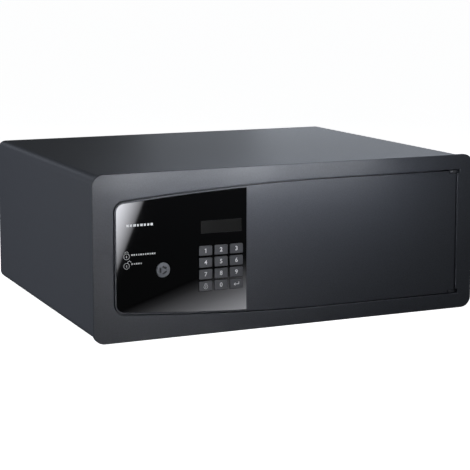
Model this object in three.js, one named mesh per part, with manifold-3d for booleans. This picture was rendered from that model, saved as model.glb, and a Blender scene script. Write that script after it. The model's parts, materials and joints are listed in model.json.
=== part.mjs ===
// In-room safe: rounded steel cabinet, arched steel door with a glossy control panel,
// motor-driven bolts. Millimetres, +Z up, -Y is the front, origin under the middle of the base.
import * as THREE from "three";
import { mergeVertices } from "three/addons/utils/BufferGeometryUtils.js";
import Module from "manifold-3d";

const wasm = await Module();
wasm.setup();

// ---------- driving dimensions ----------
const WIDTH = 490;
const DEPTH = 395;
const HEIGHT = 190;
const FIT = 0.3; // gap kept between fixed neighbours

// cabinet
const FRONT = -DEPTH / 2;
const BACK = DEPTH / 2;
const MID_Z = HEIGHT / 2;
const FRAME_THICK = 6;
const FRAME_BACK = FRONT + FRAME_THICK;
const FRAME_CORNER = 13.5;
const OVERHANG = 2.5; // the frame stands out past the shell all round
const SHELL_WALL = 2;
const SHELL_CORNER = 10;
const SHELL_X = WIDTH / 2 - OVERHANG;
const SHELL_FRONT = FRAME_BACK + FIT;
const PANEL_THICK = 2; // rear wall
const SHELL_BACK = BACK - PANEL_THICK - FIT;
const INNER_X = SHELL_X - SHELL_WALL;
const FLOOR_TOP = OVERHANG + SHELL_WALL;
const CEILING = HEIGHT - FLOOR_TOP;

// door opening: straight on the right, arched towards the left
const OPEN_LEFT = -220.65;
const OPEN_RIGHT = 222.55;
const OPEN_TOP = 171.75;
const OPEN_BOTTOM = HEIGHT - OPEN_TOP;
const OPEN_CORNER = 13;
const ARCH_START_X = 60;
const ARCH_RADIUS = 2950;

// door
const DOOR_GAP = 1.5;
const DOOR_RECESS = 1;
const DOOR_THICK = 5;
const DOOR_FRONT = FRONT + DOOR_RECESS;
const DOOR_BACK = DOOR_FRONT + DOOR_THICK;
const DOOR_BEHIND = DOOR_BACK + FIT;
const PIVOT_X = 216;
const PIVOT_Y = DOOR_FRONT + 3.2;
const BOSS_RADIUS = 3.1;
const NOTCH_X = PIVOT_X - 4;
const NOTCH_TOP = 166.9;
const PIN_RADIUS = 1.7;
const PIN_LENGTH = 28.7;
const LEAF_THICK = 3.4;
const LEAF_BOTTOM = NOTCH_TOP + 0.4;

// control panel
const RIM = 1.6; // steel left standing round the panel
const PANEL_RIGHT = -59.2;
const POCKET_DEPTH = 2.3;
const PANEL_DEPTH = 2;
const POCKET_FLOOR = DOOR_FRONT + POCKET_DEPTH;
const PANEL_BACK = DOOR_FRONT + PANEL_DEPTH;
const DISPLAY = { left: -116, right: -65.7, bottom: 116.4, top: 130.4 };

// keypad
const KEY_WIDTH = 16;
const KEY_HEIGHT = 11;
const KEY_CORNER = 0.8;
const KEY_PITCH_X = 19.05;
const KEY_PITCH_Z = 13.6;
const KEYPAD_X = -91.3;
const KEYPAD_TOP_ROW = 96.4;
const KEY_PROUD = 0.8;
const KEY_FLANGE = 0.7;
const KEY_NAMES = [
  ["key_1", "key_2", "key_3"],
  ["key_4", "key_5", "key_6"],
  ["key_7", "key_8", "key_9"],
  ["key_lock", "key_0", "key_enter"],
];

// override lock
const LOCK_X = -162;
const LOCK_Z = 78.2;
const LOCK_DISC_RADIUS = 8.5;
const LOCK_BARREL_RADIUS = 6;

// bolts and drive
const BOLT_RADIUS = 8;
const BOLT_Y = DOOR_BACK + 18.5;
const BOLT_Z = [60, 130];
const BOLT_TIP_X = -210;
const CARRIAGE_X = -141;
const CARRIAGE_THICK = 5;
const GEAR_MODULE = 1;
const PINION_TEETH = 12;
const PINION_X = -122;
const PINION_Z = 95;
const PINION_Y = -167.2;
const RACK_END_X = -88;
const MOTOR_RADIUS = 7;

// inner cover and batteries
const COVER = { left: -209, right: 200, bottom: 42, top: 148, back: -158 };
const COVER_WALL = 1.5;
const COVER_POSTS = [[-190, 46.4], [-190, 143.6], [192, 46.4], [192, 143.6]];
const CELL_RADIUS = 7.1;
const CELL_LENGTH = 49;
const CELL_PITCH = 15.5;
const CELL_X = 44;
const CELL_Y = -171;
const TRAY = { left: 40, right: 99, bottom: 62, top: 129, front: -181, back: -160 };

// anchor holes
const ANCHOR_RADIUS = 5.3;
const ANCHOR_X = 140;
const FLOOR_ANCHOR_Y = 40;

// ---------- materials ----------
const finish = (color, roughness, metalness) =>
  new THREE.MeshStandardMaterial({ color, roughness, metalness });
const anthracite = finish(0x3c3f45, 0.55, 0.3);
const glossBlack = finish(0x08090b, 0.08, 0);
const smoked = finish(0x15171b, 0.1, 0);
const keyGrey = finish(0x2a2c30, 0.4, 0);
const zinc = finish(0xa8abad, 0.35, 0.9);
const steel = finish(0xc4c6c8, 0.25, 1);
const blackPlastic = finish(0x1b1c1e, 0.5, 0);
const rubber = finish(0x151515, 0.9, 0);
const carpet = finish(0x24262a, 1, 0);
const circuitGreen = finish(0x1d4a2c, 0.5, 0);
const ribbonGrey = finish(0x8b8d90, 0.6, 0);
const cellSleeve = finish(0x2f5b86, 0.4, 0.2);

// ---------- solids ----------
const safe = new THREE.Group();

/** A closed three.js geometry as a solid that can be joined and cut. */
function solid(geometry) {
  const shape = geometry.index ? geometry : geometry.clone();
  shape.deleteAttribute("normal");
  shape.deleteAttribute("uv");
  const merged = mergeVertices(shape, 1e-4);
  const index = merged.index.array;
  const faces = [];
  for (let i = 0; i < index.length; i += 3) {
    const [a, b, c] = [index[i], index[i + 1], index[i + 2]];
    if (a !== b && b !== c && c !== a) faces.push(a, b, c);
  }
  const mesh = new wasm.Mesh({
    numProp: 3,
    vertProperties: new Float32Array(merged.attributes.position.array),
    triVerts: new Uint32Array(faces),
  });
  return new wasm.Manifold(mesh);
}

/** Adds one solid to the safe as a named mesh. */
function add(name, shape, material) {
  const mesh = shape.getMesh();
  const geometry = new THREE.BufferGeometry();
  geometry.setAttribute("position", new THREE.BufferAttribute(mesh.vertProperties, 3));
  geometry.setIndex(new THREE.BufferAttribute(mesh.triVerts, 1));
  geometry.computeVertexNormals();
  const part = new THREE.Mesh(geometry, material);
  part.name = name;
  safe.add(part);
}

/** Extrudes an outline drawn in X and Z from y0 back to y1. */
function alongY(shape, y0, y1, curveSegments = 5) {
  const body = new THREE.ExtrudeGeometry(shape, { depth: y1 - y0, bevelEnabled: false, curveSegments });
  return solid(body.rotateX(Math.PI / 2).translate(0, y1, 0));
}

/** Extrudes an outline drawn in X and Y from z0 up to z1. */
function alongZ(shape, z0, z1, curveSegments = 6) {
  const body = new THREE.ExtrudeGeometry(shape, { depth: z1 - z0, bevelEnabled: false, curveSegments });
  return solid(body.translate(0, 0, z0));
}

/** Extrudes an outline drawn in Y and Z from x0 to x1. */
function alongX(shape, x0, x1, curveSegments = 6) {
  const body = new THREE.ExtrudeGeometry(shape, { depth: x1 - x0, bevelEnabled: false, curveSegments });
  const turn = new THREE.Matrix4().makeBasis(
    new THREE.Vector3(0, 1, 0),
    new THREE.Vector3(0, 0, 1),
    new THREE.Vector3(1, 0, 0),
  );
  return solid(body.applyMatrix4(turn).translate(x0, 0, 0));
}

function box(x0, x1, y0, y1, z0, z1) {
  const body = new THREE.BoxGeometry(x1 - x0, y1 - y0, z1 - z0);
  return solid(body.translate((x0 + x1) / 2, (y0 + y1) / 2, (z0 + z1) / 2));
}

/** A turned piece: profile points are [radius, distance along the axis]. */
function turned(profile, segments = 16) {
  return new THREE.LatheGeometry(profile.map(([r, h]) => new THREE.Vector2(r, h)), segments);
}

const turnedX = (profile, y, z, segments) =>
  solid(turned(profile, segments).rotateZ(-Math.PI / 2).translate(0, y, z));
const turnedY = (profile, x, z, segments) => solid(turned(profile, segments).translate(x, 0, z));
const turnedZ = (profile, x, y, segments) =>
  solid(turned(profile, segments).rotateX(Math.PI / 2).translate(x, y, 0));

const rodProfile = (radius, h0, h1) => [[0, h0], [radius, h0], [radius, h1], [0, h1]];
const rodX = (radius, x0, x1, y, z, segments) => turnedX(rodProfile(radius, x0, x1), y, z, segments);
const rodY = (radius, y0, y1, x, z, segments) => turnedY(rodProfile(radius, y0, y1), x, z, segments);
const rodZ = (radius, z0, z1, x, y, segments) => turnedZ(rodProfile(radius, z0, z1), x, y, segments);

/** A closed outline with four round corners, as a Shape or a Path. */
function rounded(x0, x1, y0, y1, radius, Kind = THREE.Shape) {
  const outline = new Kind();
  outline.absarc(x1 - radius, y0 + radius, radius, -Math.PI / 2, 0);
  outline.absarc(x1 - radius, y1 - radius, radius, 0, Math.PI / 2);
  outline.absarc(x0 + radius, y1 - radius, radius, Math.PI / 2, Math.PI);
  outline.absarc(x0 + radius, y0 + radius, radius, Math.PI, 1.5 * Math.PI);
  outline.closePath();
  return outline;
}

/** The door opening's outline, moved inwards by inset, as a Shape or a Path. */
function archedOutline(inset, Kind = THREE.Shape) {
  const left = OPEN_LEFT + inset;
  const right = OPEN_RIGHT - inset;
  const top = OPEN_TOP - inset;
  const bottom = OPEN_BOTTOM + inset;
  const arch = ARCH_RADIUS - inset;
  const corner = Math.max(OPEN_CORNER - inset, 4);
  const cornerX = left + corner;
  const rise = Math.sqrt((arch - corner) ** 2 - (ARCH_START_X - cornerX) ** 2);
  const meet = Math.atan2(rise, cornerX - ARCH_START_X);
  const outline = new Kind();
  outline.moveTo(right, bottom);
  outline.lineTo(right, top);
  outline.lineTo(ARCH_START_X, top);
  outline.absarc(ARCH_START_X, top - arch, arch, Math.PI / 2, meet);
  outline.absarc(cornerX, top - arch + rise, corner, meet, Math.PI);
  outline.absarc(cornerX, bottom + arch - rise, corner, Math.PI, 2 * Math.PI - meet);
  outline.absarc(ARCH_START_X, bottom + arch, arch, 2 * Math.PI - meet, 1.5 * Math.PI);
  outline.closePath();
  return outline;
}

/** The same solid below the door's middle line, turned upside down. */
const mirroredBelow = (shape) => shape.mirror([0, 0, 1]).translate([0, 0, HEIGHT]);

// ---------- cabinet ----------
function frontFrame() {
  const outline = rounded(-WIDTH / 2, WIDTH / 2, 0, HEIGHT, FRAME_CORNER);
  outline.holes.push(archedOutline(0, THREE.Path));
  const notch = box(OPEN_RIGHT - 1, OPEN_RIGHT + 3.5, FRONT - 1, FRAME_BACK + 1, NOTCH_TOP, OPEN_TOP);
  return alongY(outline, FRONT, FRAME_BACK).subtract(notch).subtract(mirroredBelow(notch));
}

function bodyShell() {
  const outline = rounded(-SHELL_X, SHELL_X, OVERHANG, HEIGHT - OVERHANG, SHELL_CORNER);
  const bore = rounded(-INNER_X, INNER_X, FLOOR_TOP, CEILING, SHELL_CORNER - SHELL_WALL, THREE.Path);
  outline.holes.push(bore);
  let shell = alongY(outline, SHELL_FRONT, SHELL_BACK);
  for (const x of [-ANCHOR_X, ANCHOR_X]) {
    shell = shell.subtract(rodZ(ANCHOR_RADIUS, 0, FLOOR_TOP + 1, x, FLOOR_ANCHOR_Y));
  }
  return shell;
}

function backPanel() {
  const outline = rounded(-SHELL_X, SHELL_X, OVERHANG, HEIGHT - OVERHANG, SHELL_CORNER);
  let panel = alongY(outline, BACK - PANEL_THICK, BACK);
  for (const x of [-ANCHOR_X, ANCHOR_X]) {
    panel = panel.subtract(rodY(ANCHOR_RADIUS, BACK - PANEL_THICK - 1, BACK + 1, x, MID_Z));
  }
  return panel;
}

/** Push-in plug for an anchor hole; the axis runs from the stem's end to the head. */
function plugProfile(start, stem, head) {
  const stemRadius = ANCHOR_RADIUS - FIT;
  const headRadius = ANCHOR_RADIUS + 2.7;
  return [
    [0, start],
    [stemRadius, start],
    [stemRadius, start + stem],
    [headRadius, start + stem],
    [headRadius, start + stem + head - 0.5],
    [headRadius - 0.8, start + stem + head],
    [0, start + stem + head],
  ];
}

function foot(x, y) {
  const radius = 9;
  const top = OVERHANG - FIT;
  return turnedZ([[0, 0], [radius - 0.5, 0], [radius, 0.5], [radius, top], [0, top]], x, y);
}

function floorMat() {
  const top = FLOOR_TOP + FIT + 2.5;
  const reach = INNER_X - SHELL_CORNER;
  const mat = rounded(-reach, reach, FRAME_BACK + 6, BACK - 6, 8);
  for (const x of [-ANCHOR_X, ANCHOR_X]) {
    const hole = new THREE.Path();
    hole.absarc(x, FLOOR_ANCHOR_Y, ANCHOR_RADIUS + 4, 0, 2 * Math.PI);
    mat.holes.push(hole);
  }
  return alongZ(mat, FLOOR_TOP + FIT, top);
}

function doorJamb() {
  const thick = 3;
  const overlap = 5;
  const rightEnd = 205;
  const gap = 0.4;
  const outline = rounded(-INNER_X + gap, INNER_X, FLOOR_TOP + gap, CEILING - gap, SHELL_CORNER - SHELL_WALL);
  outline.holes.push(archedOutline(DOOR_GAP + overlap, THREE.Path));
  const ring = alongY(outline, DOOR_BEHIND, DOOR_BEHIND + thick);
  return ring.subtract(box(rightEnd, WIDTH, DOOR_BEHIND - 1, DOOR_BEHIND + thick + 1, -1, HEIGHT + 1));
}

function strikePlate() {
  const thick = 3;
  const faceX = -226;
  const frontY = DOOR_BEHIND + 3 + FIT;
  const rearY = frontY + 36;
  const profile = new THREE.Shape();
  profile.moveTo(faceX, frontY);
  profile.lineTo(faceX, rearY);
  profile.lineTo(-INNER_X + FIT, rearY);
  profile.lineTo(-INNER_X + FIT, rearY - thick);
  profile.lineTo(faceX - thick, rearY - thick);
  profile.lineTo(faceX - thick, frontY);
  let plate = alongZ(profile, 40, HEIGHT - 40);
  for (const z of BOLT_Z) {
    plate = plate.subtract(rodX(BOLT_RADIUS + 0.6, faceX - 5, faceX + 5, BOLT_Y, z));
  }
  return plate;
}

/** Upper hinge leaf: a round eye in the frame's notch, with a tail welded behind the frame. */
function hingeLeaf() {
  const eye = BOSS_RADIUS + 0.1;
  const tailRight = 236;
  const tailBack = DOOR_BEHIND + 8;
  const outline = new THREE.Shape();
  outline.absarc(PIVOT_X, PIVOT_Y, eye, Math.PI / 2, 1.5 * Math.PI);
  outline.lineTo(OPEN_RIGHT + 3.2, PIVOT_Y - 1.1); // slopes back, clear of the open door
  outline.lineTo(OPEN_RIGHT + 3.2, DOOR_BEHIND);
  outline.lineTo(tailRight, DOOR_BEHIND);
  outline.lineTo(tailRight, tailBack);
  outline.lineTo(PIVOT_X + 6, tailBack);
  outline.lineTo(PIVOT_X, PIVOT_Y + eye);
  const leaf = alongZ(outline, LEAF_BOTTOM, LEAF_BOTTOM + LEAF_THICK, 8);
  return leaf.subtract(rodZ(PIN_RADIUS + 0.15, LEAF_BOTTOM - 1, LEAF_BOTTOM + LEAF_THICK + 1, PIVOT_X, PIVOT_Y));
}

function hingePin() {
  const top = LEAF_BOTTOM + LEAF_THICK;
  const low = top - PIN_LENGTH;
  const profile = [[0, low], [PIN_RADIUS - 0.5, low], [PIN_RADIUS, low + 0.5], [PIN_RADIUS, top], [0, top]];
  return turnedZ(profile, PIVOT_X, PIVOT_Y);
}

function buildCabinet() {
  add("body_shell", bodyShell(), anthracite);
  add("front_frame", frontFrame(), anthracite);
  add("back_panel", backPanel(), anthracite);
  for (const [side, x] of [["left", -210], ["right", 210]]) {
    add(`foot_front_${side}`, foot(x, -160), rubber);
    add(`foot_rear_${side}`, foot(x, 160), rubber);
  }
  const floorPlug = plugProfile(OVERHANG + 0.2, SHELL_WALL + 0.1, 1.6);
  const rearPlug = plugProfile(-BACK + 0.2, PANEL_THICK + 0.1, 1.6);
  for (const [side, x] of [["left", -ANCHOR_X], ["right", ANCHOR_X]]) {
    add(`floor_plug_${side}`, turnedZ(floorPlug, x, FLOOR_ANCHOR_Y), blackPlastic);
    const facingIn = solid(turned(rearPlug)).mirror([0, 1, 0]);
    add(`rear_plug_${side}`, facingIn.translate([x, 0, MID_Z]), blackPlastic);
  }
  add("floor_mat", floorMat(), carpet);
  add("door_jamb", doorJamb(), anthracite);
  add("strike_plate", strikePlate(), zinc);
  add("hinge_leaf_upper", hingeLeaf(), anthracite);
  add("hinge_leaf_lower", mirroredBelow(hingeLeaf()), anthracite);
  add("hinge_pin_upper", hingePin(), steel);
  add("hinge_pin_lower", mirroredBelow(hingePin()), steel);
}

// ---------- door and control panel ----------
const keyCentre = (row, column) => [
  KEYPAD_X + (column - 1) * KEY_PITCH_X,
  KEYPAD_TOP_ROW - row * KEY_PITCH_Z,
];

/** A block round the whole keypad, wider than the keys by margin. */
function keypadBlock(margin, y0, y1) {
  const [left, top] = keyCentre(0, 0);
  const [right, bottom] = keyCentre(3, 2);
  const dx = KEY_WIDTH / 2 + margin;
  const dz = KEY_HEIGHT / 2 + margin;
  return alongY(rounded(left - dx, right + dx, bottom - dz, top + dz, 1.5), y0, y1, 3);
}

function displayBlock(margin, y0, y1) {
  const { left, right, bottom, top } = DISPLAY;
  return alongY(rounded(left - margin, right + margin, bottom - margin, top + margin, 0.8), y0, y1, 3);
}

/** The part of an arched outline that lies left of x, as a plate. */
function panelPlate(inset, right, y0, y1) {
  const plate = alongY(archedOutline(inset), y0, y1);
  return plate.subtract(box(right, WIDTH, y0 - 1, y1 + 1, -1, HEIGHT + 1));
}

function doorPlate() {
  const notch = box(NOTCH_X, WIDTH, DOOR_FRONT - 1, DOOR_BACK + 1, NOTCH_TOP, HEIGHT);
  const bossBottom = NOTCH_TOP - 27;
  const boss = rodZ(BOSS_RADIUS, bossBottom, NOTCH_TOP, PIVOT_X, PIVOT_Y);
  const bore = rodZ(PIN_RADIUS + 0.25, bossBottom - 1, NOTCH_TOP + 1, PIVOT_X, PIVOT_Y);
  let door = alongY(archedOutline(DOOR_GAP), DOOR_FRONT, DOOR_BACK);
  door = door.subtract(panelPlate(DOOR_GAP + RIM, PANEL_RIGHT + 0.15, DOOR_FRONT - 1, POCKET_FLOOR));
  door = door.subtract(notch).subtract(mirroredBelow(notch));
  door = door.add(boss).add(mirroredBelow(boss));
  door = door.subtract(bore).subtract(mirroredBelow(bore));
  door = door.subtract(keypadBlock(1.6, DOOR_FRONT, DOOR_BACK + 1));
  door = door.subtract(displayBlock(-0.4, DOOR_FRONT, DOOR_BACK + 1));
  door = door.subtract(rodY(LOCK_BARREL_RADIUS + 0.5, DOOR_FRONT, DOOR_BACK + 1, LOCK_X, LOCK_Z));
  for (const [x, z] of COVER_POSTS) {
    door = door.subtract(rodY(1.9, DOOR_BACK - 2.2, DOOR_BACK + 1, x, z, 12));
  }
  return door;
}

function controlPanel() {
  let panel = panelPlate(DOOR_GAP + RIM + 0.25, PANEL_RIGHT, DOOR_FRONT, PANEL_BACK);
  for (let row = 0; row < 4; row += 1) {
    for (let column = 0; column < 3; column += 1) {
      panel = panel.subtract(keyBlock(row, column, 0.35, DOOR_FRONT - 1, PANEL_BACK + 1));
    }
  }
  panel = panel.subtract(displayBlock(0.3, DOOR_FRONT - 1, PANEL_BACK + 1));
  return panel.subtract(rodY(LOCK_DISC_RADIUS + 0.35, DOOR_FRONT - 1, PANEL_BACK + 1, LOCK_X, LOCK_Z, 24));
}

function keyBlock(row, column, margin, y0, y1) {
  const [x, z] = keyCentre(row, column);
  const dx = KEY_WIDTH / 2 + margin;
  const dz = KEY_HEIGHT / 2 + margin;
  return alongY(rounded(x - dx, x + dx, z - dz, z + dz, KEY_CORNER + margin), y0, y1, 1);
}

function key(row, column) {
  const [x, z] = keyCentre(row, column);
  const flangeFront = PANEL_BACK + FIT;
  const cap = keyBlock(row, column, 0, DOOR_FRONT - KEY_PROUD, flangeFront + 0.5);
  const flange = keyBlock(row, column, KEY_FLANGE, flangeFront, flangeFront + 1);
  const stem = rodY(2, flangeFront + 0.5, flangeFront + 1.7, x, z, 12);
  return cap.add(flange).add(stem);
}

function displayModule() {
  return displayBlock(-0.8, POCKET_FLOOR, DOOR_BACK + 2);
}

function keypadMat() {
  return keypadBlock(3, DOOR_BEHIND, DOOR_BEHIND + 1);
}

function keypadBoard() {
  const front = DOOR_BEHIND + 1 + FIT;
  const board = keypadBlock(3.4, front, front + 1.6);
  const socket = box(-70, -63, front + 1, front + 4.6, 88, 104);
  return board.add(socket);
}

function buildDoor() {
  add("door_plate", doorPlate(), anthracite);
  add("control_panel", controlPanel(), glossBlack);
  add("display_window", displayBlock(0, DOOR_FRONT, DOOR_FRONT + 1.8), smoked);
  add("display_module", displayModule(), blackPlastic);
  add("keypad_mat", keypadMat(), rubber);
  add("keypad_board", keypadBoard(), circuitGreen);
  KEY_NAMES.forEach((names, row) => {
    names.forEach((name, column) => add(name, key(row, column), keyGrey));
  });
}

// ---------- override lock ----------
function overrideDisc() {
  const front = DOOR_FRONT - 0.5;
  const back = DOOR_FRONT + 1.8;
  const edge = 0.6;
  const profile = [
    [0, front],
    [LOCK_DISC_RADIUS - edge, front],
    [LOCK_DISC_RADIUS, front + edge],
    [LOCK_DISC_RADIUS, back],
    [0, back],
  ];
  let disc = turnedY(profile, LOCK_X, LOCK_Z, 24);
  const slot = box(2.6, 4.2, front - 1, front + 1.2, -2.8, 2.8);
  for (const angle of [60, 180, 300]) {
    disc = disc.subtract(slot.rotate([0, angle, 0]).translate([LOCK_X, 0, LOCK_Z]));
  }
  return disc;
}

function overrideCylinder() {
  const front = DOOR_FRONT + 1.8 + FIT;
  const camFront = DOOR_BEHIND + 7.1;
  const camBack = camFront + 1.8;
  const barrel = rodY(LOCK_BARREL_RADIUS, front, camBack, LOCK_X, LOCK_Z);
  const cam = rounded(LOCK_X - 3, LOCK_X + 3, LOCK_Z - 3, LOCK_Z + 11, 2.9);
  return barrel.add(alongY(cam, camFront, camBack));
}

function overrideHousing() {
  const sleeve = rodY(10, DOOR_BEHIND, DOOR_BEHIND + 6.8, LOCK_X, LOCK_Z, 6);
  return sleeve.subtract(rodY(LOCK_BARREL_RADIUS + 0.5, DOOR_BEHIND - 1, DOOR_BEHIND + 8, LOCK_X, LOCK_Z));
}

function buildOverride() {
  add("override_disc", overrideDisc(), zinc);
  add("override_cylinder", overrideCylinder(), steel);
  add("override_housing", overrideHousing(), zinc);
}

// ---------- bolts and drive ----------
function bolt(z) {
  const end = CARRIAGE_X - FIT;
  const profile = [
    [0, BOLT_TIP_X],
    [BOLT_RADIUS - 1.2, BOLT_TIP_X],
    [BOLT_RADIUS, BOLT_TIP_X + 1.2],
    [BOLT_RADIUS, end],
    [3.6, end],
    [3.6, CARRIAGE_X + CARRIAGE_THICK + 2],
    [0, CARRIAGE_X + CARRIAGE_THICK + 2],
  ];
  return turnedX(profile, BOLT_Y, z, 20);
}

/** Straight-flanked rack profile in X and Y, teeth pointing back (+Y). */
function rackOutline() {
  const pitch = Math.PI * GEAR_MODULE;
  const pitchLine = PINION_Y - (PINION_TEETH * GEAR_MODULE) / 2;
  const tip = pitchLine + 0.8 * GEAR_MODULE;
  const root = pitchLine - 1.2 * GEAR_MODULE;
  const half = 0.21 * pitch;
  const slope = Math.tan(Math.PI / 9);
  const tipHalf = half - 0.8 * GEAR_MODULE * slope;
  const rootHalf = half + 1.2 * GEAR_MODULE * slope;
  const start = CARRIAGE_X + 1;
  const outline = new THREE.Shape();
  outline.moveTo(start, root);
  outline.lineTo(start, root - 4);
  outline.lineTo(RACK_END_X, root - 4);
  outline.lineTo(RACK_END_X, root);
  // tooth gaps line up with the pinion's middle tooth, so the pair is in mesh at rest
  const teeth = Math.floor((RACK_END_X - PINION_X) / pitch) - 1;
  for (let i = teeth; i >= -4; i -= 1) {
    const x = PINION_X + (i + 0.5) * pitch;
    outline.lineTo(x + rootHalf, root);
    outline.lineTo(x + tipHalf, tip);
    outline.lineTo(x - tipHalf, tip);
    outline.lineTo(x - rootHalf, root);
  }
  return outline;
}

function boltCarriage() {
  const plate = box(CARRIAGE_X, CARRIAGE_X + CARRIAGE_THICK, BOLT_Y - 8, BOLT_Y + 8.5, BOLT_Z[0] - 10, BOLT_Z[1] + 10);
  let carriage = plate.add(alongZ(rackOutline(), PINION_Z - 3, PINION_Z + 3));
  for (const z of BOLT_Z) {
    carriage = carriage.subtract(rodX(3.9, CARRIAGE_X - 1, CARRIAGE_X + CARRIAGE_THICK + 1, BOLT_Y, z));
  }
  return carriage;
}

/** Pinion outline: each tooth flank follows the involute of the base circle. */
function pinionOutline() {
  const pitchRadius = (PINION_TEETH * GEAR_MODULE) / 2;
  const base = pitchRadius * Math.cos(Math.PI / 9);
  const tip = pitchRadius + 0.8 * GEAR_MODULE;
  const root = pitchRadius - 1.2 * GEAR_MODULE;
  const involute = (radius) => {
    const turn = Math.sqrt((radius / base) ** 2 - 1);
    return turn - Math.atan(turn);
  };
  const halfAtPitch = (0.21 * Math.PI * GEAR_MODULE) / pitchRadius;
  const halfAngle = (radius) => halfAtPitch + involute(pitchRadius) - involute(Math.max(radius, base));
  const radii = [root, base, (base + pitchRadius) / 2, pitchRadius, (pitchRadius + tip) / 2, tip];
  const points = [];
  for (let tooth = 0; tooth < PINION_TEETH; tooth += 1) {
    const middle = -Math.PI / 2 + (tooth * 2 * Math.PI) / PINION_TEETH;
    for (const radius of radii) points.push([radius, middle - halfAngle(radius)]);
    for (const radius of [...radii].reverse()) points.push([radius, middle + halfAngle(radius)]);
  }
  const place = ([radius, angle]) =>
    new THREE.Vector2(PINION_X + radius * Math.cos(angle), PINION_Y + radius * Math.sin(angle));
  return new THREE.Shape(points.map(place));
}

function motorPinion() {
  const gear = alongZ(pinionOutline(), PINION_Z - 4, PINION_Z + 4);
  return gear.add(rodZ(2, PINION_Z, PINION_Z + 8.4, PINION_X, PINION_Y, 16));
}

function motor() {
  const low = PINION_Z + 8.7;
  const can = rodZ(MOTOR_RADIUS, low, low + 30, PINION_X, PINION_Y, 18);
  const terminals = box(PINION_X - 3, PINION_X + 3, PINION_Y - 9.5, PINION_Y - 5, low + 22, low + 26);
  return can.add(terminals);
}

function motorBracket() {
  const low = PINION_Z + 8.7 + 30 + FIT;
  const profile = new THREE.Shape();
  profile.moveTo(DOOR_BEHIND, low);
  profile.lineTo(PINION_Y + MOTOR_RADIUS, low);
  profile.lineTo(PINION_Y + MOTOR_RADIUS, low + 2);
  profile.lineTo(DOOR_BEHIND + 1.5, low + 2);
  profile.lineTo(DOOR_BEHIND + 1.5, low + 11);
  profile.lineTo(DOOR_BEHIND, low + 11);
  return alongX(profile, PINION_X - 9, PINION_X + 9);
}

function boltGuide() {
  const block = rounded(DOOR_BEHIND + 0.2, BOLT_Y + 10, BOLT_Z[0] - 12, BOLT_Z[1] + 10, 3);
  let guide = alongX(block, -204, -196, 3);
  for (const z of BOLT_Z) guide = guide.subtract(rodX(BOLT_RADIUS + 0.35, -206, -194, BOLT_Y, z, 20));
  return guide;
}

function buildDrive() {
  add("bolt_carriage", boltCarriage(), zinc);
  add("bolt_lower", bolt(BOLT_Z[0]), steel);
  add("bolt_upper", bolt(BOLT_Z[1]), steel);
  add("bolt_guide", boltGuide(), zinc);
  add("motor_pinion", motorPinion(), blackPlastic);
  add("motor", motor(), zinc);
  add("motor_bracket", motorBracket(), zinc);
}

// ---------- electronics, cover and batteries ----------
function controlBoard() {
  const front = DOOR_BEHIND + 3;
  const back = front + 1.6;
  return alongY(rounded(-45, 18, 56, 134, 2), front, back, 3)
    .add(box(-30, -14, back - 0.5, back + 2, 88, 104))
    .add(box(-38, -28, back - 0.5, back + 6, 114, 128))
    .add(box(0, 12, back - 0.5, back + 9, 62, 74))
    .add(rodY(4, back - 0.5, back + 10, 6, 92, 16))
    .add(box(-43, -36, back - 0.5, back + 3, 88, 104));
}

/** Flat cable from the keypad board to the control board. */
function ribbonCable() {
  const keypadEnd = DOOR_BEHIND + 1 + FIT + 4.9;
  const boardEnd = DOOR_BEHIND + 3 + 1.6 + 3.3;
  const thick = 0.8;
  const bulge = 7;
  const outline = new THREE.Shape();
  outline.moveTo(-69, keypadEnd);
  outline.bezierCurveTo(-58, keypadEnd + bulge, -48, boardEnd + bulge, -37, boardEnd);
  outline.lineTo(-37, boardEnd + thick);
  outline.bezierCurveTo(-48, boardEnd + bulge + thick, -58, keypadEnd + bulge + thick, -69, keypadEnd + thick);
  return alongZ(outline, 89, 103, 16);
}

function doorCover() {
  const { left, right, bottom, top, back } = COVER;
  const inside = back - COVER_WALL;
  let cover = alongY(rounded(left, right, bottom, top, 5), DOOR_BEHIND, back, 4);
  const w = COVER_WALL;
  cover = cover.subtract(
    alongY(rounded(left + w, right - w, bottom + w, top - w, 3.5), DOOR_BEHIND - 1, inside, 4),
  );
  for (const [x, z] of COVER_POSTS) {
    cover = cover.add(rodY(3.4, DOOR_BEHIND, inside + 0.5, x, z, 16));
    cover = cover.subtract(rodY(1.85, DOOR_BEHIND - 1, back + 1, x, z, 12));
  }
  for (const z of BOLT_Z) {
    cover = cover.subtract(rodX(BOLT_RADIUS + 0.6, left - 2, left + 4, BOLT_Y, z, 20));
  }
  return cover.subtract(lidBlock(0.4, inside - 1, back + 1));
}

function coverScrew(x, z) {
  const headFront = COVER.back + FIT;
  const profile = [
    [0, DOOR_BACK - 1.9],
    [1.5, DOOR_BACK - 1.9],
    [1.5, headFront],
    [3, headFront],
    [3, headFront + 1.2],
    [2.2, headFront + 1.9],
    [0, headFront + 1.9],
  ];
  return turnedY(profile, x, z, 16);
}

function batteryTray() {
  const { left, right, bottom, top, front, back } = TRAY;
  const w = COVER_WALL;
  const tray = box(left, right, front, back, bottom, top);
  return tray.subtract(box(left + w, right - w, front + w, back + 1, bottom + w, top - w));
}

/** One cylindrical cell lying along X; flip turns its terminal to the other side. */
function cell(index) {
  const z = (TRAY.bottom + TRAY.top) / 2 + (index - 1.5) * CELL_PITCH;
  const profile = [
    [0, 0],
    [CELL_RADIUS - 0.8, 0],
    [CELL_RADIUS, 0.8],
    [CELL_RADIUS, CELL_LENGTH - 1],
    [CELL_RADIUS - 1, CELL_LENGTH],
    [2.7, CELL_LENGTH],
    [2.7, CELL_LENGTH + 1.5],
    [0, CELL_LENGTH + 1.5],
  ];
  const upright = turnedX(profile, CELL_Y, z, 14);
  const centre = (TRAY.left + TRAY.right) / 2;
  const placed = upright.translate([CELL_X, 0, 0]);
  return index % 2 ? placed.mirror([1, 0, 0]).translate([2 * centre, 0, 0]) : placed;
}

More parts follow.
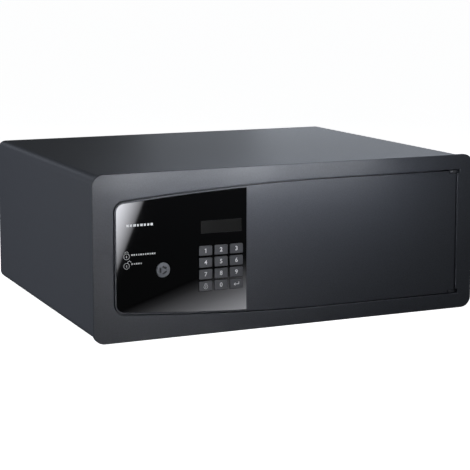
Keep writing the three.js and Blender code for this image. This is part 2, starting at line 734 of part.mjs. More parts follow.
function lidBlock(margin, y0, y1) {
  const inset = 3;
  const { left, right, bottom, top } = TRAY;
  const outline = rounded(
    left + inset - margin,
    right - inset + margin,
    bottom + inset - margin,
    top - inset + margin,
    2,
  );
  return alongY(outline, y0, y1, 3);
}

function batteryLid() {
  const centre = (TRAY.left + TRAY.right) / 2;
  const lid = lidBlock(0, COVER.back - COVER_WALL, COVER.back);
  const grip = box(centre - 10, centre + 10, COVER.back - 0.7, COVER.back + 1, TRAY.top - 12, TRAY.top - 8);
  return lid.subtract(grip);
}

function buildInside() {
  add("control_board", controlBoard(), circuitGreen);
  add("ribbon_cable", ribbonCable(), ribbonGrey);
  add("door_cover", doorCover(), blackPlastic);
  COVER_POSTS.forEach(([x, z], i) => add(`cover_screw_${i + 1}`, coverScrew(x, z), steel));
  add("battery_tray", batteryTray(), blackPlastic);
  for (let i = 0; i < 4; i += 1) add(`battery_${i + 1}`, cell(i), cellSleeve);
  add("battery_lid", batteryLid(), blackPlastic);
}

buildCabinet();
buildDoor();
buildOverride();
buildDrive();
buildInside();

export default safe;
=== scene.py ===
"""In-room safe: powder-coated cabinet and arched door, gloss keypad panel, motor-driven bolts."""
import json
import math

import bmesh
import bpy
from mathutils import Matrix, Vector


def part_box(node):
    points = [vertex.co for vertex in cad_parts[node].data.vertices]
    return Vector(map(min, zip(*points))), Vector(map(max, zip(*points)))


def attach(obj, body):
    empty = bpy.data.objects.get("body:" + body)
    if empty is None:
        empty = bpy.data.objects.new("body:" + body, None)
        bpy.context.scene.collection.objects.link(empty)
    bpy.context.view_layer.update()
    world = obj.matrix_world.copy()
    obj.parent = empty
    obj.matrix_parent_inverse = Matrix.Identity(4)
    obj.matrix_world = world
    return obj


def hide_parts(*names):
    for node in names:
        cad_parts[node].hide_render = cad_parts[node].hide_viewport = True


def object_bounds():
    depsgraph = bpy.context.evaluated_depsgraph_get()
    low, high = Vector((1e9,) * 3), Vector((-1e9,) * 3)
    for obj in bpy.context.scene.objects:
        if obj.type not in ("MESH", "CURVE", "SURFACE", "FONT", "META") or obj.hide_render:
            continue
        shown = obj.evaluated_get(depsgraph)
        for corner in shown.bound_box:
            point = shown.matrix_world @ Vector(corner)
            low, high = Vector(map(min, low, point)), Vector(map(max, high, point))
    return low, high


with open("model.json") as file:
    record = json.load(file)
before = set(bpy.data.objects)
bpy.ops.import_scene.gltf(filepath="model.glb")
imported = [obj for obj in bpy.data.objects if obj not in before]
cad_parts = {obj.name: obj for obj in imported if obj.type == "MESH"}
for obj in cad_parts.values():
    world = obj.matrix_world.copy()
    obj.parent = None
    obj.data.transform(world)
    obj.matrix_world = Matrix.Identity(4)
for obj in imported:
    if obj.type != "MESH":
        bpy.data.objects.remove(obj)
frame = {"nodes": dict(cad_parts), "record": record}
cad_low, cad_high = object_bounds()

MM = 0.001
FRONT_Y = cad_low.y  # the frame's front face
panel_low, panel_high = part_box("control_panel")
PANEL_Y = panel_low.y
PANEL_LEFT = panel_low.x / MM
PANEL_MIDDLE = (panel_low.z + panel_high.z) / 2 / MM
NODES = frame["nodes"]
BODY_OF = {node: body for body, nodes in frame["record"]["behaviour"]["bodies"].items() for node in nodes}
SLOT_OF = {part["node"]: part["material_slot"] for part in frame["record"]["subparts"]}


# ---------------------------------------------------------------- node helpers
def new_material(name, colour, roughness, metallic=0.0, specular=0.5):
    """A Principled material with its plain values set on the shader's own sockets."""
    material = bpy.data.materials.new(name)
    material.use_nodes = True
    shader = material.node_tree.nodes["Principled BSDF"]
    shader.inputs["Base Color"].default_value = (*colour, 1)
    shader.inputs["Roughness"].default_value = roughness
    shader.inputs["Metallic"].default_value = metallic
    shader.inputs["Specular IOR Level"].default_value = specular
    return material, material.node_tree, shader


def object_coordinates(tree, stretch=(1, 1, 1)):
    coordinates = tree.nodes.new("ShaderNodeTexCoord")
    mapping = tree.nodes.new("ShaderNodeMapping")
    mapping.inputs["Scale"].default_value = stretch
    tree.links.new(coordinates.outputs["Object"], mapping.inputs["Vector"])
    return mapping.outputs["Vector"]


def noise(tree, vector, scale, detail, rough):
    node = tree.nodes.new("ShaderNodeTexNoise")
    node.inputs["Scale"].default_value = scale
    node.inputs["Detail"].default_value = detail
    node.inputs["Roughness"].default_value = rough
    tree.links.new(vector, node.inputs["Vector"])
    return node.outputs["Fac"]


def value_range(tree, value, low, high, start=0.0, end=1.0):
    """Turns values from start to end into values from low to high."""
    node = tree.nodes.new("ShaderNodeMapRange")
    node.inputs["From Min"].default_value = start
    node.inputs["From Max"].default_value = end
    node.inputs["To Min"].default_value = low
    node.inputs["To Max"].default_value = high
    tree.links.new(value, node.inputs["Value"])
    return node.outputs["Result"]


def tint(tree, shader, factor, dark, light):
    """Base colour runs from dark to light with the factor."""
    mix = tree.nodes.new("ShaderNodeMix")
    mix.data_type = "RGBA"
    mix.inputs["A"].default_value = (*dark, 1)
    mix.inputs["B"].default_value = (*light, 1)
    tree.links.new(factor, mix.inputs["Factor"])
    tree.links.new(mix.outputs["Result"], shader.inputs["Base Color"])


def bump(tree, shader, height, strength, distance):
    node = tree.nodes.new("ShaderNodeBump")
    node.inputs["Strength"].default_value = strength
    node.inputs["Distance"].default_value = distance
    tree.links.new(height, node.inputs["Height"])
    tree.links.new(node.outputs["Normal"], shader.inputs["Normal"])


def added(tree, first, second):
    node = tree.nodes.new("ShaderNodeMath")
    node.operation = "ADD"
    tree.links.new(first, node.inputs[0])
    tree.links.new(second, node.inputs[1])
    return node.outputs["Value"]


def shade(colour, amount):
    """A colour made lighter or darker by a factor."""
    return tuple(min(channel * amount, 1) for channel in colour)


# ---------------------------------------------------------------- finishes
# Noise scales are in features per metre.
def powder_coat(name, colour, roughness, grain):
    """Fine-textured powder coat: two grains of orange peel and a faint mottle."""
    material, tree, shader = new_material(name, colour, roughness)
    place = object_coordinates(tree)
    fine = noise(tree, place, 1500, 2.0, 0.6)
    coarse = noise(tree, place, 420, 2.0, 0.5)
    mottle = noise(tree, place, 900, 3.0, 0.7)
    tint(tree, shader, value_range(tree, mottle, 0, 1, 0.3, 0.7), shade(colour, 0.72), shade(colour, 1.3))
    bump(tree, shader, added(tree, fine, coarse), grain, 0.15 * MM)
    polish = value_range(tree, mottle, roughness - 0.05, roughness + 0.06)
    tree.links.new(polish, shader.inputs["Roughness"])
    return material


def gloss_black(name, colour, roughness, specular):
    """Polished plastic with a very faint wipe haze in its roughness."""
    material, tree, shader = new_material(name, colour, roughness, specular=specular)
    haze = noise(tree, object_coordinates(tree, (1, 1, 3)), 22, 3.0, 0.6)
    tree.links.new(value_range(tree, haze, roughness, roughness + 0.012), shader.inputs["Roughness"])
    return material


def moulded_plastic(name, colour, roughness, grain=0.25, scale=1100):
    """Moulded plastic or rubber: a spark-eroded grain and a faint cloud in the colour."""
    material, tree, shader = new_material(name, colour, roughness)
    place = object_coordinates(tree)
    spark = noise(tree, place, scale, 2.0, 0.6)
    cloud = noise(tree, place, 40, 3.0, 0.6)
    tint(tree, shader, cloud, shade(colour, 0.85), shade(colour, 1.2))
    bump(tree, shader, spark, grain, 0.06 * MM)
    return material


def metal(name, colour, roughness, stretch):
    """Ground or plated metal with fine drawn lines along one axis."""
    material, tree, shader = new_material(name, colour, roughness, metallic=1.0)
    lines = noise(tree, object_coordinates(tree, stretch), 300, 3.0, 0.6)
    blush = noise(tree, object_coordinates(tree), 35, 3.0, 0.6)
    tint(tree, shader, blush, shade(colour, 0.85), shade(colour, 1.1))
    tree.links.new(value_range(tree, lines, roughness - 0.08, roughness + 0.1), shader.inputs["Roughness"])
    bump(tree, shader, lines, 0.12, 0.03 * MM)
    return material


def felt(name, colour):
    """Needle felt: tangled fibres in bump and colour, with sheen."""
    material, tree, shader = new_material(name, colour, 0.95, specular=0.15)
    shader.inputs["Sheen Weight"].default_value = 0.4
    place = object_coordinates(tree)
    fibre = noise(tree, place, 900, 5.0, 0.75)
    clump = noise(tree, place, 160, 3.0, 0.6)
    tint(tree, shader, fibre, shade(colour, 0.5), shade(colour, 1.9))
    bump(tree, shader, added(tree, fibre, clump), 0.9, 0.6 * MM)
    return material


def circuit_board(name):
    """Green solder mask with a faint grid of tracks under it, on a board that stands upright."""
    mask = (0.012, 0.1, 0.035)
    material, tree, shader = new_material(name, mask, 0.3)
    brick = tree.nodes.new("ShaderNodeTexBrick")
    brick.inputs["Scale"].default_value = 140  # tracks 3.6 mm long and 1.8 mm apart
    brick.inputs["Color1"].default_value = (*mask, 1)
    brick.inputs["Color2"].default_value = (0.014, 0.12, 0.04, 1)
    brick.inputs["Mortar"].default_value = (0.03, 0.17, 0.06, 1)
    upright = tree.nodes.new("ShaderNodeMapping")
    upright.inputs["Rotation"].default_value = (math.radians(90), 0, 0)
    tree.links.new(object_coordinates(tree), upright.inputs["Vector"])
    tree.links.new(upright.outputs["Vector"], brick.inputs["Vector"])
    tree.links.new(brick.outputs["Color"], shader.inputs["Base Color"])
    bump(tree, shader, brick.outputs["Fac"], 0.2, 0.05 * MM)
    return material


def ribbed(name, colour, pitch):
    """Flat cable: one rib for each core, across Z, with painted shade in the grooves between the ribs."""
    material, tree, shader = new_material(name, colour, 0.45)
    wave = tree.nodes.new("ShaderNodeTexWave")
    wave.bands_direction = "Z"
    period = math.pi / 10  # of one rib, at a scale of 1
    wave.inputs["Scale"].default_value = period / pitch
    tree.links.new(object_coordinates(tree), wave.inputs["Vector"])
    # painted shade: the colour is darkened in the grooves, where the bump is low
    tint(tree, shader, wave.outputs["Fac"], shade(colour, 0.6), colour)
    bump(tree, shader, wave.outputs["Fac"], 0.5, 0.2 * MM)
    return material


def sleeve(name, colour, band, band_width):
    """Cell sleeve: a coloured body with a paler band at its right end."""
    band_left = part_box("battery_1")[1].x - band_width
    material, tree, shader = new_material(name, colour, 0.3)
    split = tree.nodes.new("ShaderNodeSeparateXYZ")
    tree.links.new(object_coordinates(tree), split.inputs["Vector"])
    edge = value_range(tree, split.outputs["X"], 0, 1, band_left, band_left + 0.5 * MM)
    tint(tree, shader, edge, colour, band)
    return material


FINISH = {
    "anthracite_steel": powder_coat("anthracite_powder_coat", (0.036, 0.039, 0.048), 0.42, 0.5),
    "gloss_panel": gloss_black("gloss_black_panel", (0.0012, 0.0012, 0.0014), 0.02, 0.36),
    "smoked_lens": gloss_black("smoked_lens", (0.0085, 0.0085, 0.008), 0.2, 0.2),
    "key_caps": moulded_plastic("key_cap_grey", (0.05, 0.051, 0.057), 0.34),
    "zinc": metal("zinc_plate", (0.42, 0.43, 0.45), 0.38, (1, 1, 6)),
    "bright_steel": metal("ground_steel", (0.6, 0.6, 0.61), 0.26, (1, 8, 8)),
    "black_plastic": moulded_plastic("black_moulding", (0.018, 0.018, 0.02), 0.5, 0.5, 900),
    "rubber": moulded_plastic("black_rubber", (0.014, 0.014, 0.014), 0.85, 0.4, 600),
    "carpet": felt("charcoal_felt", (0.03, 0.032, 0.037)),
    "circuit_board": circuit_board("solder_mask"),
    "ribbon": ribbed("grey_ribbon", (0.3, 0.3, 0.31), 1.27 * MM),
    "cell_sleeve": sleeve("cell_sleeve", (0.02, 0.07, 0.17), (0.5, 0.5, 0.52), 13 * MM),
}
WHITE_PRINT = moulded_plastic("white_print", (0.8, 0.8, 0.8), 0.5, 0.1)
DULL_ZINC = metal("dull_zinc", (0.15, 0.155, 0.165), 0.5, (1, 1, 6))


# ---------------------------------------------------------------- mesh helpers
def link(name, mesh, material=None):
    piece = bpy.data.objects.new(name, mesh)
    bpy.context.scene.collection.objects.link(piece)
    if material:
        mesh.materials.clear()
        mesh.materials.append(material)
    return piece


def baked(piece, material):
    """Turns a piece and its modifiers into one plain mesh."""
    bpy.context.view_layer.update()
    shape = piece.evaluated_get(bpy.context.evaluated_depsgraph_get())
    mesh = bpy.data.meshes.new_from_object(shape)
    name = piece.name
    bpy.data.objects.remove(piece)
    return link(name, mesh, material)


def mount(piece, body, slot_name, *nodes):
    """Puts a finished piece on its body and hides the CAD nodes it stands for; the slot name is not used.
    """
    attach(piece, body)
    if nodes:
        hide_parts(*nodes)


def face_middle(node):
    """The middle of a CAD node's front face."""
    low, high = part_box(node)
    return Vector(((low.x + high.x) / 2, low.y, (low.z + high.z) / 2))


WELD = 0.002 * MM  # vertices nearer than this are one
SHARP = math.radians(35)  # a steeper edge than this is rounded


def eased(node, width, slot_name, material, cutter=None):
    """A copy of a CAD node with every hard edge rounded to the given width."""
    shell = bmesh.new()
    shell.from_mesh(NODES[node].data)
    bmesh.ops.remove_doubles(shell, verts=shell.verts, dist=WELD)
    bmesh.ops.dissolve_limit(shell, angle_limit=math.radians(1), verts=shell.verts, edges=shell.edges)
    mesh = bpy.data.meshes.new(f"{node}_eased")
    shell.to_mesh(mesh)
    shell.free()
    mesh.shade_smooth()
    piece = link(f"{node}_eased", mesh)
    if cutter:
        cut = piece.modifiers.new("cut", "BOOLEAN")
        cut.object = cutter
    rounding = piece.modifiers.new("rounding", "BEVEL")
    rounding.width = width
    rounding.segments = 3
    rounding.limit_method = "ANGLE"
    rounding.angle_limit = SHARP
    shading = piece.modifiers.new("shading", "WEIGHTED_NORMAL")
    shading.weight = 80
    mount(baked(piece, material), BODY_OF[node], slot_name, node)


# ---------------------------------------------------------------- the pieces with rounded edges
# How far each piece's hard edges are rounded, in millimetres.
EDGE = {
    "front_frame": 1.3,
    "body_shell": 0.5,
    "back_panel": 0.8,
    "door_plate": 0.5,
    "control_panel": 0.35,
    "display_window": 0.2,
    "door_cover": 0.8,
    "battery_lid": 0.2,
    "door_jamb": 0.5,
    "strike_plate": 0.6,
    "floor_mat": 0.8,
    "motor_pinion": 0.12,
    "keypad_mat": 0.3,
}
KEY_EDGE = 0.45
SMALL_EDGE = 0.25


def slot_blocks(name, width, length, front, back):
    """Three blocks set round the override disc's middle; millimetres, with depths from its face."""
    radius = 3.4
    middle = Matrix.Translation(face_middle("override_disc"))
    bm = bmesh.new()
    for angle in (60, 180, 300):
        turn = Matrix.Rotation(math.radians(angle), 4, "Y")
        place = Matrix.Translation((radius * MM, (front + back) / 2 * MM, 0))
        size = Matrix.Diagonal((width * MM, (back - front) * MM, length * MM, 1))
        bmesh.ops.create_cube(bm, size=1, matrix=middle @ turn @ place @ size)
    mesh = bpy.data.meshes.new(name)
    bm.to_mesh(mesh)
    bm.free()
    return link(name, mesh)


def override_disc():
    """The disc over the emergency lock, with three slots cut in it and painted shade in each: a thin dark
    plate on each slot's floor.
    """
    width = 2.2
    length = 5.8
    depth = 1.25
    cutter = slot_blocks("slot_cutter", width, length, -1, depth)
    eased("override_disc", SMALL_EDGE * MM, SLOT_OF["override_disc"], DULL_ZINC, cutter)
    bpy.data.objects.remove(cutter)
    # painted shade: dark plates on the slot floors stand in for the shade inside the slots
    slot_shade_plates = slot_blocks("override_slot_shade", width - 0.04, length - 0.04, depth - 0.11, depth - 0.01)
    slot_shade_plates.data.materials.append(FINISH["black_plastic"])
    mount(slot_shade_plates, BODY_OF["override_disc"], "black_plastic")


for node_name in sorted(NODES):
    if node_name == "override_disc":
        continue
    usual_edge = KEY_EDGE if node_name.startswith("key_") else SMALL_EDGE
    # the hinges are coated with the cabinet
    finish_slot = "anthracite_steel" if node_name.startswith("hinge_") else SLOT_OF[node_name]
    eased(node_name, EDGE.get(node_name, usual_edge) * MM, finish_slot, FINISH[finish_slot])
override_disc()


# ---------------------------------------------------------------- printed marks
class Print:
    """Flat white marks gathered on one upright plane, drawn in millimetres across X and Z."""

    LIFT = 0.02 * MM  # the marks' thickness

    def __init__(self, y):
        self.y = y
        self.mesh = bmesh.new()

    def polygon(self, points):
        rear = [self.mesh.verts.new((x * MM, self.y, z * MM)) for x, z in points]
        front = [self.mesh.verts.new((x * MM, self.y - self.LIFT, z * MM)) for x, z in points]
        self.mesh.faces.new(rear)
        self.mesh.faces.new(reversed(front))
        for i, corner in enumerate(rear):
            j = (i + 1) % len(rear)
            self.mesh.faces.new((corner, front[i], front[j], rear[j]))

    def bar(self, x0, z0, x1, z1, width):
        """A round-ended stroke from one point to another."""
        along = Vector((x1 - x0, z1 - z0))
        heading = math.atan2(along.y, along.x)
        points = []
        for cx, cz, start in ((x1, z1, heading - math.pi / 2), (x0, z0, heading + math.pi / 2)):
            for step in range(7):
                angle = start + math.pi * step / 6
                points.append((cx + width / 2 * math.cos(angle), cz + width / 2 * math.sin(angle)))
        self.polygon(points)

    def arc(self, cx, cz, radius, width, start=0, end=360, steps=28):
        """A band round a centre, in degrees; a full turn closes on itself."""
        closed = end - start == 360
        inner = radius - width / 2
        outer = radius + width / 2
        front = self.y - self.LIFT
        section = ((inner, self.y), (outer, self.y), (outer, front), (inner, front))
        sections = []
        for step in range(steps if closed else steps + 1):
            angle = math.radians(start + (end - start) * step / steps)
            across = math.cos(angle)
            up = math.sin(angle)
            corners = [((cx + r * across) * MM, y, (cz + r * up) * MM) for r, y in section]
            sections.append([self.mesh.verts.new(corner) for corner in corners])
        following = sections[1:] + (sections[:1] if closed else [])
        for here, there in zip(sections, following):
            for i in range(4):
                j = (i + 1) % 4
                self.mesh.faces.new((here[i], here[j], there[j], there[i]))
        if not closed:
            self.mesh.faces.new(sections[0])
            self.mesh.faces.new(reversed(sections[-1]))

    def finish(self, name, body, slot_name):
        bmesh.ops.remove_doubles(self.mesh, verts=self.mesh.verts, dist=WELD / 2)
        bmesh.ops.recalc_face_normals(self.mesh, faces=self.mesh.faces)
        mesh = bpy.data.meshes.new(name)
        self.mesh.to_mesh(mesh)
        self.mesh.free()
        mount(link(name, mesh, WHITE_PRINT), body, slot_name)


def padlock(marks, x, z, size, swing):
    """Round padlock with a keyhole; swing moves the shackle sideways when it is open."""
    marks.arc(x, z, size, size * 0.17)
    marks.bar(x, z + size * 0.2, x, z - size * 0.32, size * 0.3)
    marks.arc(x + swing, z + size * 1.1, size * 0.6, size * 0.17, 0, 180, 14)


def panel_marks():
    """A shut padlock over an open one, beside the two lines of the legend."""
    marks = Print(PANEL_Y)
    padlock(marks, PANEL_LEFT + 12, PANEL_MIDDLE + 1.6, size=3.3, swing=0)
    padlock(marks, PANEL_LEFT + 11.9, PANEL_MIDDLE - 9, size=3.3, swing=3.4)
    marks.finish("panel_marks", "door", "gloss_panel")


def dash_row_tree():
    """Geometry nodes: a row of upright dashes of uneven widths, as a line of blank print."""
    tree = bpy.data.node_groups.new("dash_row", "GeometryNodeTree")
    sockets = [
        ("Count", "NodeSocketInt"),
        ("Pitch", "NodeSocketFloat"),
        ("Width", "NodeSocketFloat"),
        ("Height", "NodeSocketFloat"),
        ("Seed", "NodeSocketInt"),
        ("Start", "NodeSocketVector"),
        ("Ink", "NodeSocketMaterial"),
    ]
    for name, kind in sockets:
        tree.interface.new_socket(name, in_out="INPUT", socket_type=kind)
    tree.interface.new_socket("Geometry", in_out="OUTPUT", socket_type="NodeSocketGeometry")
    make = tree.nodes.new
    join = tree.links.new
    inputs = make("NodeGroupInput")
    output = make("NodeGroupOutput")

    # a row of points, one pitch apart
    step = make("ShaderNodeCombineXYZ")
    line = make("GeometryNodeMeshLine")
    join(inputs.outputs["Pitch"], step.inputs["X"])
    join(inputs.outputs["Count"], line.inputs["Count"])
    join(inputs.outputs["Start"], line.inputs["Start Location"])
    join(step.outputs["Vector"], line.inputs["Offset"])

    # one dash
    size = make("ShaderNodeCombineXYZ")
    dash = make("GeometryNodeMeshCube")
    join(inputs.outputs["Width"], size.inputs["X"])
    size.inputs["Y"].default_value = 2 * Print.LIFT
    join(inputs.outputs["Height"], size.inputs["Z"])
    join(size.outputs["Vector"], dash.inputs["Size"])

    # a width for each dash, from about half to the whole
    uneven = make("FunctionNodeRandomValue")
    scale = make("ShaderNodeCombineXYZ")
    uneven.inputs[2].default_value = 0.55
    uneven.inputs[3].default_value = 1.0
    join(inputs.outputs["Seed"], uneven.inputs["Seed"])
    join(uneven.outputs[1], scale.inputs["X"])
    scale.inputs["Y"].default_value = 1
    scale.inputs["Z"].default_value = 1

    # a dash on every point, in ink
    scatter = make("GeometryNodeInstanceOnPoints")
    real = make("GeometryNodeRealizeInstances")
    paint = make("GeometryNodeSetMaterial")
    join(line.outputs["Mesh"], scatter.inputs["Points"])
    join(dash.outputs["Mesh"], scatter.inputs["Instance"])
    join(scale.outputs["Vector"], scatter.inputs["Scale"])
    join(scatter.outputs["Instances"], real.inputs["Geometry"])
    join(real.outputs["Geometry"], paint.inputs["Geometry"])
    join(inputs.outputs["Ink"], paint.inputs["Material"])
    join(paint.outputs["Geometry"], output.inputs["Geometry"])
    return tree


def dash_row(tree, name, left, z, count, pitch, width, height, seed):
    """One line of blank print on the panel; millimetres from its left edge and its middle."""
    start = ((PANEL_LEFT + left + pitch / 2) * MM, PANEL_Y, (PANEL_MIDDLE + z) * MM)
    values = {
        "Count": count,
        "Pitch": pitch * MM,
        "Width": width * MM,
        "Height": height * MM,
        "Seed": seed,
        "Start": start,
        "Ink": WHITE_PRINT,
    }
    holder = link(name, bpy.data.meshes.new(name))
    row = holder.modifiers.new("row", "NODES")
    row.node_group = tree
    for item in tree.interface.items_tree:
        if item.in_out == "INPUT":
            row[item.identifier] = values[item.name]
    mount(baked(holder, WHITE_PRINT), "door", "gloss_panel")


def digit(text, key_node):
    """A printed digit in the middle of a key."""
    curve = bpy.data.curves.new(f"digit_{text}", "FONT")
    curve.body = text
    curve.size = 6.9 * MM
    curve.align_x = "CENTER"
    curve.align_y = "CENTER"
    curve.offset = 0.15 * MM  # a bolder stroke
    curve.extrude = Print.LIFT
    piece = baked(link(f"digit_{text}", curve), WHITE_PRINT)
    upright = Matrix.Rotation(math.pi / 2, 4, "X")
    piece.data.transform(Matrix.Translation(face_middle(key_node)) @ upright)
    mount(piece, BODY_OF[key_node], "key_caps")


def key_outline(name, key_node, outline):
    """A printed shape on a key, drawn in millimetres from the middle of its face."""
    face = face_middle(key_node)
    marks = Print(face.y)
    marks.polygon([(face.x / MM + x, face.z / MM + z) for x, z in outline])
    marks.finish(name, BODY_OF[key_node], "key_caps")


def key_padlock(name, key_node):
    """A printed shut padlock in the middle of a key."""
    face = face_middle(key_node)
    marks = Print(face.y)
    padlock(marks, face.x / MM, face.z / MM - 0.8, size=2.3, swing=0)
    marks.finish(name, BODY_OF[key_node], "key_caps")


ONE = [(-0.3, -2.5), (0.6, -2.5), (0.6, 2.5), (-0.1, 2.5), (-1.4, 1.6), (-1.1, 0.95), (-0.3, 1.45)]
ENTER_ARROW = [
    (-3.4, -0.6), (-1.6, 1.2), (-1.05, 0.65), (-1.85, -0.2), (2.6, -0.2), (2.6, 2),
    (3.4, 2), (3.4, -1), (-1.85, -1), (-1.05, -1.85), (-1.6, -2.4),
]

panel_marks()
DASHES = dash_row_tree()
dash_row(DASHES, "name_dashes", left=11.3, z=36.2, count=8, pitch=4.1, width=3.6, height=2.6, seed=4)
dash_row(DASHES, "upper_legend", left=17, z=3.1, count=11, pitch=2.7, width=2.2, height=1.7, seed=7)
dash_row(DASHES, "lower_legend", left=17, z=-7, count=5, pitch=2.7, width=2.2, height=1.7, seed=9)
for number in (0, 2, 3, 4, 5, 6, 7, 8, 9):
    digit(str(number), f"key_{number}")
key_outline("digit_1", "key_1", ONE)
key_padlock("lock_mark", "key_lock")
key_outline("enter_mark", "key_enter", ENTER_ARROW)


# ---------------------------------------------------------------- camera
CAMERA_PLACE = Vector((-0.748, FRONT_Y - 1.494, 0.4016))
LOOK_DOWN = 7.265  # degrees
LOOK_RIGHT = 23.75
camera_data = bpy.data.cameras.new("camera")
camera_data.lens = 111.7
camera_data.shift_x = 0.028
camera_data.shift_y = -0.1494
camera = bpy.data.objects.new("camera", camera_data)
camera.location = CAMERA_PLACE
camera.rotation_euler = (math.radians(90 - LOOK_DOWN), 0, math.radians(-LOOK_RIGHT))
bpy.context.scene.collection.objects.link(camera)
bpy.context.scene.camera = camera


# ---------------------------------------------------------------- stage and lights
def glowing(name, colour, strength):
    """Emission only, its strength scaled at each vertex by the mesh's glow attribute."""
    material = bpy.data.materials.new(name)
    material.use_nodes = True
    tree = material.node_tree
    tree.nodes.clear()
    reader = tree.nodes.new("ShaderNodeAttribute")
    reader.attribute_name = "glow"
    level = tree.nodes.new("ShaderNodeMath")
    level.operation = "MULTIPLY"
    level.inputs[1].default_value = strength
    shader = tree.nodes.new("ShaderNodeEmission")
    shader.inputs["Color"].default_value = (*colour, 1)
    output = tree.nodes.new("ShaderNodeOutputMaterial")
    tree.links.new(reader.outputs["Fac"], level.inputs[0])
    tree.links.new(level.outputs["Value"], shader.inputs["Strength"])
    tree.links.new(shader.outputs["Emission"], output.inputs["Surface"])
    return material


FLOOR_REACH = 40  # metres each way


def pale_floor():
    """A white floor with a soft contact shadow, clear when seen from beneath."""
    bm = bmesh.new()
    bmesh.ops.create_grid(bm, x_segments=1, y_segments=1, size=FLOOR_REACH)
    mesh = bpy.data.meshes.new("floor")
    bm.to_mesh(mesh)
    bm.free()
    material, tree, shader = new_material("floor_white", (0.8, 0.8, 0.8), 1.0, specular=0.0)
    shader.inputs["Emission Color"].default_value = (1, 1, 1, 1)
    shader.inputs["Emission Strength"].default_value = 0.93
    side = tree.nodes.new("ShaderNodeNewGeometry")
    clear = tree.nodes.new("ShaderNodeBsdfTransparent")
    one_way = tree.nodes.new("ShaderNodeMixShader")
    tree.links.new(side.outputs["Backfacing"], one_way.inputs["Fac"])
    tree.links.new(shader.outputs["BSDF"], one_way.inputs[1])
    tree.links.new(clear.outputs["BSDF"], one_way.inputs[2])
    tree.links.new(one_way.outputs["Shader"], tree.nodes["Material Output"].inputs["Surface"])
    floor = link("floor", mesh, material)
    floor.location.z = cad_low.z - 0.2 * MM
    floor.visible_glossy = False
    floor.visible_diffuse = False


def softbox(name, place, target, size, power, colour):
    lamp = bpy.data.lights.new(name, "AREA")
    lamp.shape = "RECTANGLE"
    lamp.size = size[0]
    lamp.size_y = size[1]
    lamp.energy = power
    lamp.color = colour
    holder = bpy.data.objects.new(name, lamp)
    holder.location = place
    holder.rotation_mode = "QUATERNION"
    holder.rotation_quaternion = (Vector(target) - Vector(place)).to_track_quat("-Z", "Y")
    holder.visible_camera = False
    bpy.context.scene.collection.objects.link(holder)


CARD_DISTANCE = 0.8  # metres from the panel to a mirror card


def mirror_card(name, bands, strength):
    """A glowing card seen only in reflections: bands are (glow, left end, right end) on the panel."""
    bm = bmesh.new()
    glow = bm.verts.layers.float.new("glow")
    rows = []
    for level, *ends in bands:
        row = []
        for x, z in ends:
            spot = Vector((x * MM, PANEL_Y, z * MM))
            ray = spot - CAMERA_PLACE
            mirrored = Vector((ray.x, -ray.y, ray.z))
            corner = bm.verts.new(spot + mirrored * (CARD_DISTANCE / ray.y))
            corner[glow] = level
            row.append(corner)
        rows.append(row)
    for upper, lower in zip(rows, rows[1:]):
        bm.faces.new((upper[0], upper[1], lower[1], lower[0]))
    mesh = bpy.data.meshes.new(name)
    bm.to_mesh(mesh)
    bm.free()
    card = link(name, mesh, glowing(f"{name}_glow", (0.93, 0.94, 1), strength))
    card.visible_camera = False
    card.visible_diffuse = False
    card.visible_shadow = False


def surroundings():
    """White to look at, dim as a source of light."""
    world = bpy.data.worlds.new("studio")
    bpy.context.scene.world = world
    world.use_nodes = True
    tree = world.node_tree
    tree.nodes.clear()
    path = tree.nodes.new("ShaderNodeLightPath")
    dim = tree.nodes.new("ShaderNodeBackground")
    dim.inputs["Color"].default_value = (0.9, 0.95, 1, 1)
    dim.inputs["Strength"].default_value = 0.075
    white = tree.nodes.new("ShaderNodeBackground")
    white.inputs["Color"].default_value = (1, 1, 1, 1)
    white.inputs["Strength"].default_value = 1.0
    mix = tree.nodes.new("ShaderNodeMixShader")
    tree.links.new(path.outputs["Is Camera Ray"], mix.inputs["Fac"])
    tree.links.new(dim.outputs["Background"], mix.inputs[1])
    tree.links.new(white.outputs["Background"], mix.inputs[2])
    output = tree.nodes.new("ShaderNodeOutputWorld")
    tree.links.new(mix.outputs["Shader"], output.inputs["Surface"])


COOL = (0.84, 0.9, 1)
PALE = (0.93, 0.96, 1)

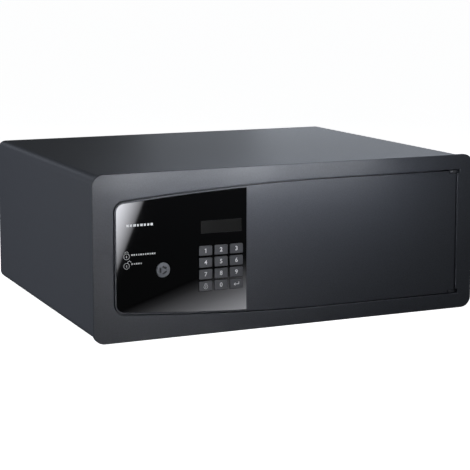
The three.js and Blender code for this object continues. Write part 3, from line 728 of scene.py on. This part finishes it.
bpy.context.scene.view_settings.view_transform = "Standard"
surroundings()
pale_floor()
softbox("front_strip_left", (-0.1, FRONT_Y - 0.08, 0.181), (-0.1, FRONT_Y, 0.168), (0.2, 0.02), 0.12, PALE)
softbox("front_strip_right", (0.06, FRONT_Y - 0.1, 0.182), (0.06, FRONT_Y, 0.168), (0.2, 0.02), 0.165, PALE)
softbox(
    "front_strip_corner", (-0.21, FRONT_Y - 0.07, 0.181), (-0.21, FRONT_Y, 0.168), (0.1, 0.02), 0.025, PALE
)
softbox("over_edge", (0.05, FRONT_Y - 0.03, 0.32), (0.05, FRONT_Y, 0.19), (0.4, 0.03), 0.3, PALE)
softbox("left_low", (-1.2, 0.12, 0.3), (-0.24, 0.12, 0.1), (0.6, 0.3), 9.5, PALE)
softbox("back_low", (0.25, 1.4, 0.09), (0.25, 0.2, 0.09), (0.88, 0.16), 9, PALE)
softbox("right_low", (1.4, 0.06, 0.09), (0.25, 0.04, 0.09), (0.45, 0.16), 8, PALE)
softbox("right_side", (1.2, -0.6, 0.3), (0.25, -0.2, 0.1), (0.5, 0.4), 2.0, PALE)
softbox("rear_left", (-0.55, 1.5, 0.75), (-0.24, 0.1, 0.19), (0.4, 0.3), 0.4, COOL)
softbox("rear_right", (1.0, 1.2, 0.42), (0.15, 0, 0.19), (0.7, 0.5), 1.85, COOL)
softbox("rear_far", (0.75, 1.8, 0.9), (0, 0, 0.19), (0.5, 0.5), 0.32, COOL)
softbox("rear_mid", (0.6, 1.45, 0.42), (0, 0, 0.19), (0.3, 0.3), 0.24, COOL)
mirror_card("wedge_card", [
    (1.0, (-262, 180), (-307, 72)),
    (0.9, (-204, 180), (-249, 72)),
    (0.15, (-177, 180), (-222, 72)),
    (0.0, (-174.5, 180), (-219.5, 72)),
], 32)
mirror_card("low_card", [
    (0.0, (-215, 36), (-40, 92)),
    (0.02, (-215, 26), (-40, 80)),
    (0.12, (-215, 6), (-40, 56)),
    (0.36, (-215, -20), (-40, 25)),
    (0.4, (-215, -60), (-40, -20)),
], 27)
